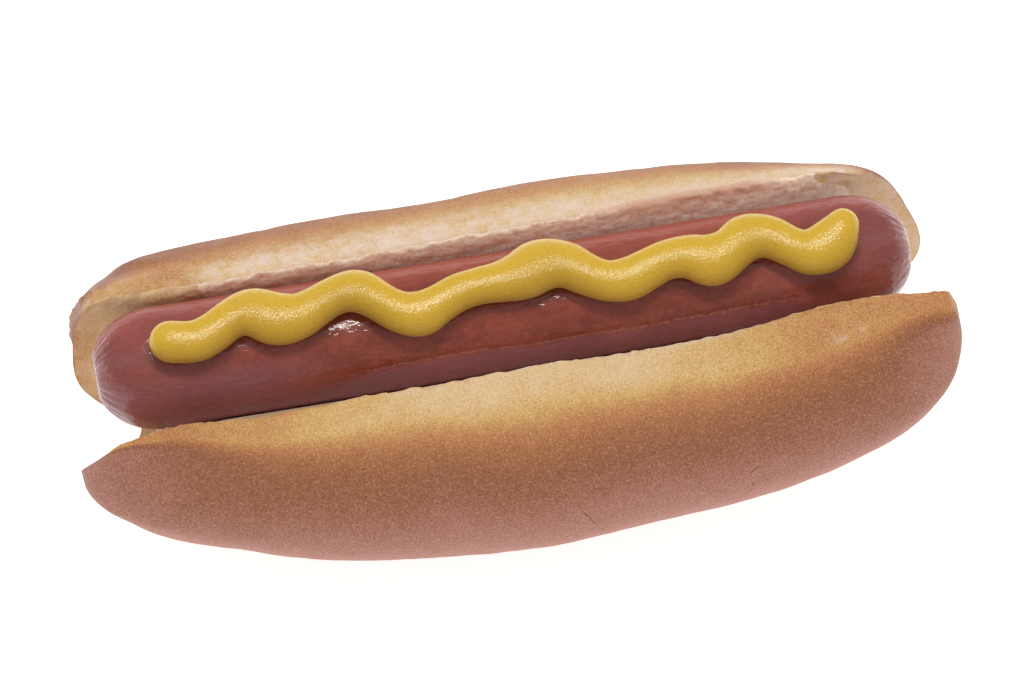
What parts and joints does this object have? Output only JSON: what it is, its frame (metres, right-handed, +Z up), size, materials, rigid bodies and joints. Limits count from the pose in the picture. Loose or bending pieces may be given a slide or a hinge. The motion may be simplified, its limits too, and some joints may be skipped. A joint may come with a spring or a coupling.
{
  "type": "hot dog",
  "caption": "Hot dog: a glossy frankfurter in a soft bun opened along one side, topped with a wavy line of yellow mustard.",
  "frame": {"origin": "middle of the underside of the whole, on the surface it rests on", "axes": "+X along the bun to the right, -Y towards the thick front half of the bun, +Z up"},
  "size_m": [0.1582, 0.0702, 0.0509],
  "materials": {
    "bread": "soft baked crust, golden brown, pale cream near the cut, open crumb on the cut faces",
    "sausage_skin": "glossy cooked sausage casing, reddish brown",
    "mustard_sauce": "smooth glossy yellow mustard, slightly grainy"
  },
  "bodies": {
    "root": {"bun": "bread", "frankfurter": "sausage_skin", "mustard": "mustard_sauce"}
  },
  "joints": []
}
